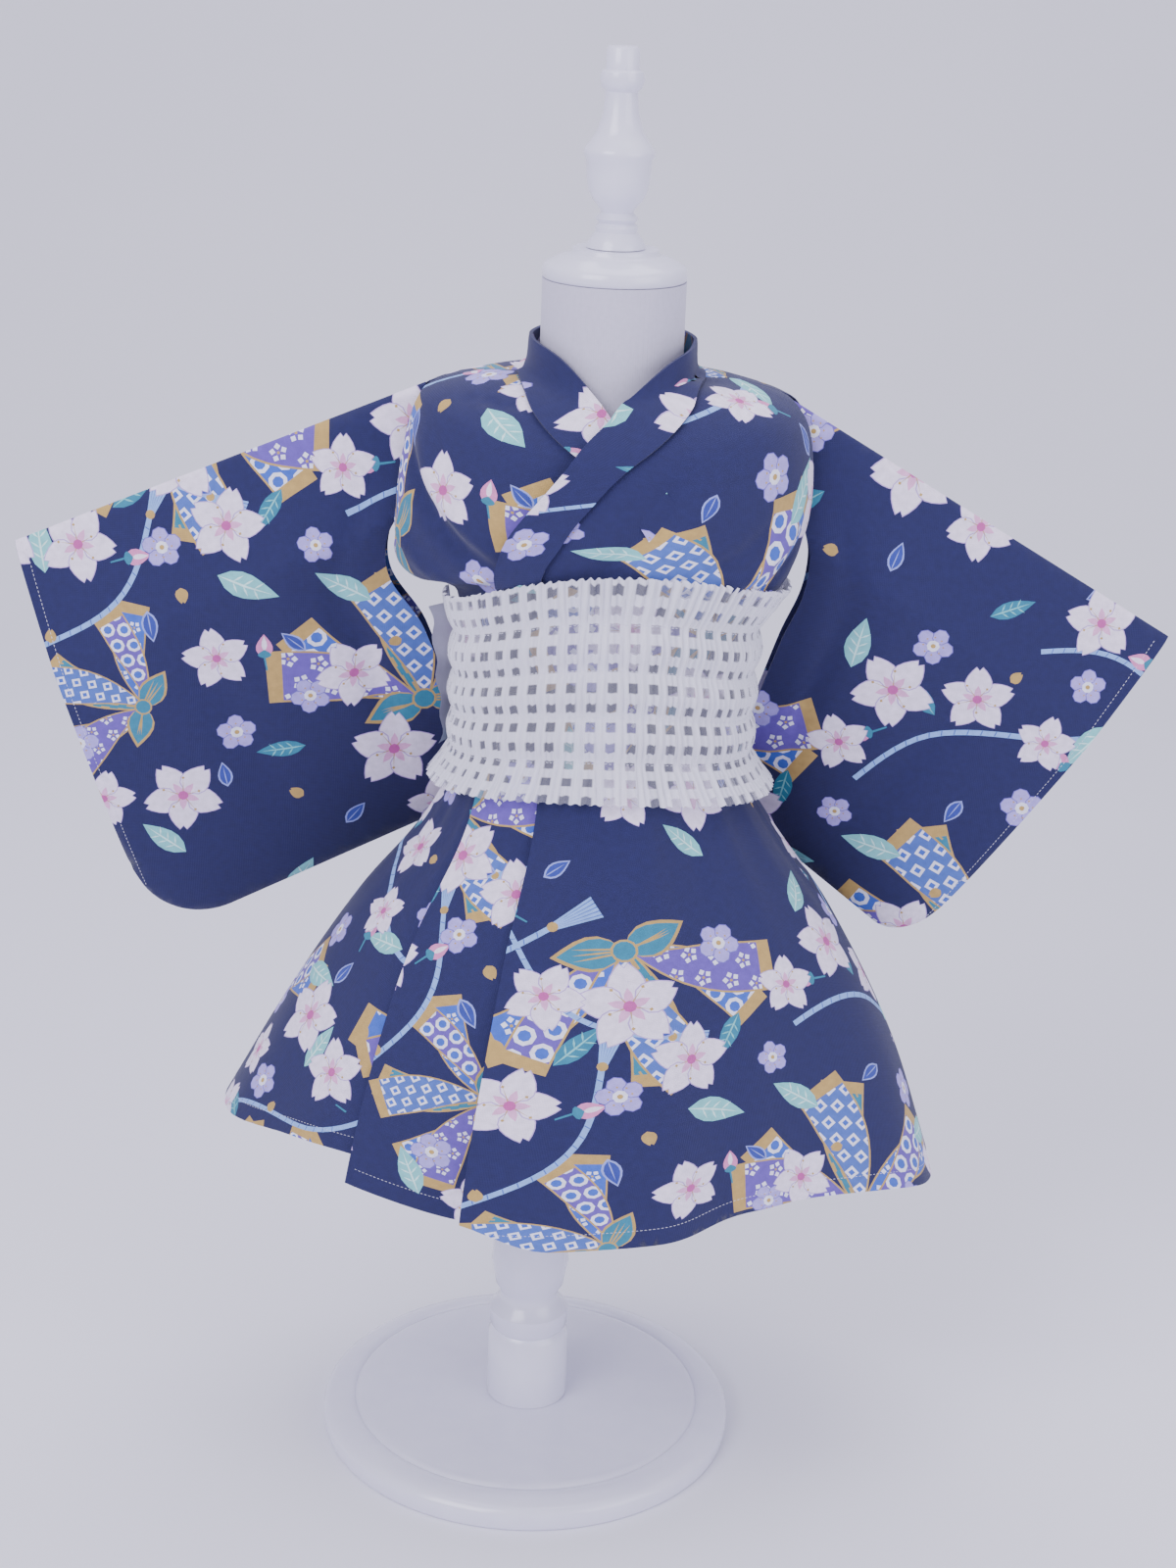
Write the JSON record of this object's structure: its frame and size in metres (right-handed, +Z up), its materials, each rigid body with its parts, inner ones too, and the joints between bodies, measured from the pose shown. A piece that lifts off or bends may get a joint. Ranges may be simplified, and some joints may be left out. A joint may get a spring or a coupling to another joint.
{
  "type": "cotton yukata robe on a dress form",
  "caption": "Small printed cotton yukata dress with square sleeves, a crossed collar and a shirred obi, worn by a limbless dress form on a turned wooden stand.",
  "frame": {"origin": "centre of the stand base's underside, on the surface that it stands on", "axes": "+Z up; the wearer faces -Y, so the wearer's left side is towards +X"},
  "size_m": [0.588, 0.2481, 0.752],
  "materials": {
    "printed_cotton": "plain-woven cotton, navy with a printed flower pattern",
    "obi_voile": "sheer white windowpane voile, shirred",
    "obi_band": "plain white cotton band",
    "form_cover": "pale knitted cover",
    "paint": "glossy white enamel on turned wood"
  },
  "bodies": {
    "root": {"stand_base": "paint", "stand_post": "paint", "form_torso": "form_cover", "form_cap": "paint", "form_finial": "paint", "bodice_back": "printed_cotton", "bodice_front_right": "printed_cotton", "bodice_front_left": "printed_cotton", "collar_right": "printed_cotton", "collar_left": "printed_cotton", "sleeve_right": "printed_cotton", "sleeve_left": "printed_cotton", "skirt_back": "printed_cotton", "skirt_front_right": "printed_cotton", "skirt_front_left": "printed_cotton", "obi_front": "obi_voile", "obi_back": "obi_band"}
  },
  "joints": []
}
